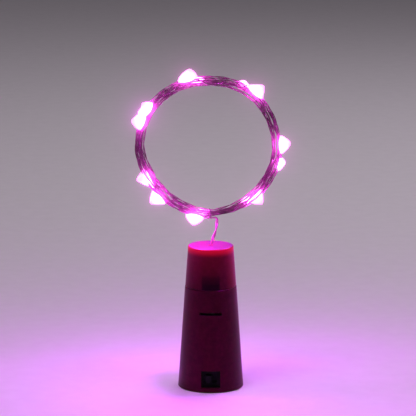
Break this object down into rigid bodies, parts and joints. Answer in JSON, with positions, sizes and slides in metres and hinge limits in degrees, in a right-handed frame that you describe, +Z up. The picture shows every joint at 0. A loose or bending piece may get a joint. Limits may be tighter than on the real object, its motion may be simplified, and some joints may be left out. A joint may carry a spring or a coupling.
{
  "type": "cork bottle light",
  "caption": "Cork-shaped battery case with a slide switch and a pull-off cap, and a wound ring of fine wire with cast light drops on a stiff lead.",
  "frame": {"origin": "middle of the flat base of the cork-shaped case", "axes": "+Z up the case towards the coil, the switch faces -Y, +X to the right as seen from the front"},
  "size_m": [0.0524, 0.0226, 0.1102],
  "materials": {
    "cork_plastic": "moulded, fine cork grain, slightly translucent",
    "black_abs": "moulded, satin",
    "black_nylon": "moulded, satin",
    "circuit_laminate": "solder mask over glass laminate",
    "brass_contact": "stamped",
    "phosphor_bronze": "rolled strip",
    "plated_steel": "nickel plated",
    "spring_steel": "nickel-plated wire",
    "cell_steel": "drawn, nickel plated",
    "cell_seal": "moulded nylon",
    "wire_insulation": "extruded",
    "solder": "reflowed",
    "resistor_ceramic": "glazed, tinned ends",
    "enamelled_wire": "enamelled copper, glossy",
    "hot_glue": "set hot-melt glue, cloudy",
    "led_chip": "lit light chip",
    "clear_resin": "cast, glossy, lit from inside"
  },
  "bodies": {
    "housing": {"lower_shell": "cork_plastic", "base_plate": "cork_plastic", "battery_tube": "black_abs", "cell_1_can": "cell_steel", "cell_1_seal": "cell_seal", "cell_1_cap": "cell_steel", "cell_2_can": "cell_steel", "cell_2_seal": "cell_seal", "cell_2_cap": "cell_steel", "cell_3_can": "cell_steel", "cell_3_seal": "cell_seal", "cell_3_cap": "cell_steel", "negative_plate": "plated_steel", "negative_spring": "spring_steel", "side_strip": "phosphor_bronze", "switch_case": "black_abs", "switch_board": "circuit_laminate", "switch_terminals": "brass_contact", "jumper_wire": "wire_insulation"},
    "knob": {"switch_knob": "black_nylon", "switch_wiper": "brass_contact"},
    "cap": {"top_cap": "cork_plastic", "contact_holder": "black_abs", "centre_contact": "brass_contact", "ring_contact": "phosphor_bronze", "circuit_board": "circuit_laminate", "solder_joints": "solder", "resistor": "resistor_ceramic", "inner_leads": "enamelled_wire", "glue_plug": "hot_glue", "lead_wire": "enamelled_wire", "wire_coil": "enamelled_wire", "led_chips": "led_chip", "led_drop_01": "clear_resin", "led_drop_02": "clear_resin", "led_drop_03": "clear_resin", "led_drop_04": "clear_resin", "led_drop_05": "clear_resin", "led_drop_06": "clear_resin", "led_drop_07": "clear_resin", "led_drop_08": "clear_resin", "led_drop_09": "clear_resin", "led_drop_10": "clear_resin", "led_drop_11": "clear_resin", "led_drop_12": "clear_resin", "led_drop_13": "clear_resin", "led_drop_14": "clear_resin", "led_drop_15": "clear_resin"}
  },
  "joints": [
    {"name": "cap_pull", "type": "slide", "parent": "housing", "child": "cap", "axis": [0, 0, 1], "range_m": [0, 0.02]},
    {"name": "switch_slide", "type": "slide", "parent": "housing", "child": "knob", "axis": [1, 0, 0], "range_m": [0, 0.0015]}
  ]
}
